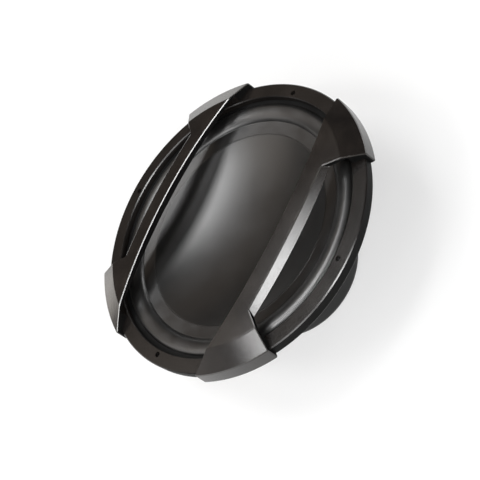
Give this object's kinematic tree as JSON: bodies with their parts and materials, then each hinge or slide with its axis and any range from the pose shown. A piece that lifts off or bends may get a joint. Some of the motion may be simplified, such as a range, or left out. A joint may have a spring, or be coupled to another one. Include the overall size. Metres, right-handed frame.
{
  "type": "car subwoofer speaker",
  "caption": "Round car subwoofer loudspeaker: dished cone in a rubber surround, trim ring with curved guard bars across the front, spoked basket, booted magnet motor and push terminals.",
  "frame": {"origin": "centre of the bolt circle, on the rear seat plane of the flange", "axes": "+Z along the speaker axis out of the front, +Y along the guard bars, +X across them; the terminals are on the -X side"},
  "size_m": [0.32, 0.32, 0.1525],
  "materials": {
    "basket_paint": "satin black paint",
    "rivet_steel": "zinc plated",
    "trim_plastic": "fine grained satin",
    "gasket_rubber": "matt",
    "bar_plastic": "fine grained satin",
    "surround_rubber": "satin",
    "cone_pulp": "matt fibre",
    "cap_plastic": "satin",
    "former_aluminium": "satin",
    "winding_copper": "enamelled copper",
    "spider_cloth": "resin-dipped weave",
    "plate_steel": "blackened",
    "magnet_ferrite": "dull",
    "screen_paint": "satin",
    "boot_rubber": "satin",
    "terminal_plastic": "satin",
    "button_red": "gloss",
    "button_black": "gloss",
    "spring_steel": "bright",
    "contact_brass": "tinned",
    "lead_braid": "braided"
  },
  "bodies": {
    "frame": {"basket": "basket_paint", "basket_rivets": "rivet_steel", "trim_ring": "trim_plastic", "front_gasket": "gasket_rubber", "guard_bar_right": "bar_plastic", "guard_bar_left": "bar_plastic", "guard_screws": "rivet_steel", "surround": "surround_rubber", "spider": "spider_cloth", "top_plate": "plate_steel", "magnet_front": "magnet_ferrite", "magnet_rear": "magnet_ferrite", "pole_yoke": "plate_steel", "vent_screen": "screen_paint", "magnet_boot": "boot_rubber", "terminal_block": "terminal_plastic", "terminal_rivets": "rivet_steel", "positive_spring": "spring_steel", "negative_spring": "spring_steel", "positive_contact": "contact_brass", "negative_contact": "contact_brass", "positive_lead": "lead_braid", "negative_lead": "lead_braid"},
    "moving_cone": {"cone": "cone_pulp", "dished_cap": "cap_plastic", "coil_former": "former_aluminium", "voice_coil": "winding_copper", "lead_eyelets": "contact_brass"},
    "positive_push": {"positive_button": "button_red"},
    "negative_push": {"negative_button": "button_black"}
  },
  "joints": [
    {"name": "cone_travel", "type": "slide", "parent": "frame", "child": "moving_cone", "axis": [0, 0, 1], "range_m": [-0.01, 0.01], "stiffness_N_per_m": 6000, "deforming": ["surround", "spider", "positive_lead", "negative_lead"]},
    {"name": "positive_press", "type": "slide", "parent": "frame", "child": "positive_push", "axis": [0, 0, 1], "range_m": [0, 0.003], "stiffness_N_per_m": 500, "springref_m": -0.003, "deforming": ["positive_spring"]},
    {"name": "negative_press", "type": "slide", "parent": "frame", "child": "negative_push", "axis": [0, 0, 1], "range_m": [0, 0.003], "stiffness_N_per_m": 500, "springref_m": -0.003, "deforming": ["negative_spring"]}
  ]
}
